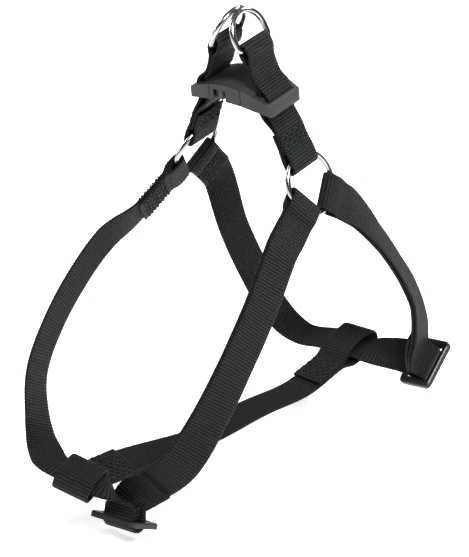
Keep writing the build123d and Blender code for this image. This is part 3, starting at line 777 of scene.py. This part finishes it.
face = PAIR + HALF_THICK
for name, seat, start, end, body in (
    ("front_strap_stitches", front_left_seat, ring_joined + 1.5, SEWN_TAIL - 2.0, "harness"),
    ("rear_strap_stitches", rear_left_seat, ring_joined + 1.5, SEWN_TAIL - 2.0, "harness"),
    ("chest_strap_front_stitches", front_sewn, 1.5, FRONT_CHEST_TAIL - 2.0, "chest"),
    ("chest_strap_rear_stitches", rear_sewn, 1.5, REAR_CHEST_TAIL - 2.0, "chest"),
    ("front_strap_end_stitches", front_adjuster, bar_joined - 2.6, bar_joined + 0.2, "front_adjuster"),
    ("rear_strap_end_stitches", rear_adjuster, bar_joined - 2.6, bar_joined + 0.2, "rear_adjuster"),
):
    rows = thread_rows(name + "_thread", seat, start, end, face)
    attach(rows, body)
    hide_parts(name)
for name, sign in (("left", -1), ("right", 1)):
    upright = back_seat(sign)
    centre = RING_MIDDLE + TILT @ upright.centre
    seat = Seat(centre, TILT @ upright.out, TILT @ upright.side, TILT @ upright.width)
    piece = f"back_strap_{name}_stitches_thread"
    rows = thread_rows(piece, seat, ring_joined - 1.0, BACK_TAIL - 1.0, LAYER + HALF_THICK)
    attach(rows, "harness")
    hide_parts(f"back_strap_{name}_stitches")

# Rings

for name, sign in (("left", -1), ("right", 1)):
    ring = o_ring(f"o_ring_{name}", ring_seat(sign, -1))
    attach(ring, f"ring_{name}")
    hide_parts(f"ring_{name}")
    bow = d_ring(f"d_ring_{name}_wire", sign)
    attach(bow, f"d_ring_{name}")
    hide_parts(f"d_ring_{name}")

# Plastic parts keep their CAD shape, with softened edges

PLASTIC_NODES = [
    "buckle_plug",
    "buckle_socket",
    "buckle_prong_front",
    "buckle_prong_rear",
    "front_adjuster",
    "rear_adjuster",
]
for name in PLASTIC_NODES:
    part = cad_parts[name]
    part.data.materials.clear()
    part.data.materials.append(materials["plastic"])
    soft = part.modifiers.new("soft_edges", "BEVEL")
    soft.width = 0.00045
    soft.segments = 3
    soft.limit_method = "ANGLE"
    soft.angle_limit = radians(35)
    soft.harden_normals = True

# Floor, light and camera

FLOOR_REACH = 3
FLOOR_DROP = 0.004      # the harness stands this far above the floor
LENS = 151.2
CAMERA_DISTANCE = 1.2
AIM_RIGHT, AIM_UP = -0.00662, -0.0549

object_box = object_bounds()
low = object_box[0].z - FLOOR_DROP
corners = [(x * FLOOR_REACH, y * FLOOR_REACH, low) for x, y in ((-1, -1), (1, -1), (1, 1), (-1, 1))]
floor = add_object("floor", corners, [(0, 1, 2, 3)], "floor")


def area_light(name, place, target, size, power):
    data = bpy.data.lights.new(name, "AREA")
    data.shape = "RECTANGLE"
    data.size, data.size_y = size
    data.energy = power
    light = bpy.data.objects.new(name, data)
    light.location = place
    light.rotation_euler = (target - light.location).to_track_quat("-Z", "Y").to_euler()
    bpy.context.scene.collection.objects.link(light)
    return light


middle = (object_box[0] + object_box[1]) / 2
area_light("key_light", vec(0.75, -0.45, 0.85), middle, (0.35, 0.35), 22)
area_light("side_light", vec(-0.95, -0.45, 0.45), middle, (0.25, 0.9), 6)
area_light("back_light", vec(0.1, 1.0, 0.75), middle, (0.9, 0.35), 10)

world = bpy.data.worlds.new("studio")
world.use_nodes = True
world_nodes, world_links = world.node_tree.nodes, world.node_tree.links
backdrop = world_nodes["Background"]
backdrop.inputs["Color"].default_value = (1, 1, 1, 1)
room = world_nodes.new("ShaderNodeBackground")
room.inputs["Strength"].default_value = 0.55
direction = world_nodes.new("ShaderNodeTexCoord")
level = world_nodes.new("ShaderNodeSeparateXYZ")
world_links.new(direction.outputs["Generated"], level.inputs[0])
walls = world_nodes.new("ShaderNodeValToRGB")
walls.color_ramp.elements[0].position = 0.0
walls.color_ramp.elements[0].color = (0.9, 0.9, 0.9, 1)
walls.color_ramp.elements[1].position = 1.0
walls.color_ramp.elements[1].color = (0.35, 0.35, 0.36, 1)
ROOM_BANDS = [(0.12, 0.75), (0.2, 0.06), (0.5, 0.1), (0.62, 0.6)]
for place, grey in ROOM_BANDS:
    stop = walls.color_ramp.elements.new(place)
    stop.color = (grey, grey, grey, 1)
world_links.new(level.outputs["Z"], walls.inputs[0])
world_links.new(walls.outputs[0], room.inputs["Color"])
path = world_nodes.new("ShaderNodeLightPath")
seen = world_nodes.new("ShaderNodeMixShader")
world_links.new(path.outputs["Is Camera Ray"], seen.inputs[0])
world_links.new(room.outputs[0], seen.inputs[1])
world_links.new(backdrop.outputs[0], seen.inputs[2])
world_links.new(seen.outputs[0], world_nodes["World Output"].inputs[0])
bpy.context.scene.world = world
bpy.context.scene.view_settings.view_transform = "Standard"
bpy.context.scene.view_settings.gamma = 0.8

azimuth, elevation = radians(37.8), radians(21.6)
forward = vec(-sin(azimuth) * cos(elevation), cos(azimuth) * cos(elevation), -sin(elevation))
camera_right = vec(cos(azimuth), sin(azimuth), 0)
camera_up = camera_right.cross(forward)
camera_data = bpy.data.cameras.new("camera")
camera_data.lens = LENS
camera_data.sensor_width = 36.0
camera_data.clip_start, camera_data.clip_end = 0.01, 20.0
camera = bpy.data.objects.new("camera", camera_data)
camera.location = vec(0, 0.0107, -0.076) - forward * CAMERA_DISTANCE
aim = forward + camera_right * AIM_RIGHT + camera_up * AIM_UP
camera.rotation_mode = "QUATERNION"
camera.rotation_quaternion = aim.to_track_quat("-Z", "Y")
bpy.context.scene.collection.objects.link(camera)
bpy.context.scene.camera = camera
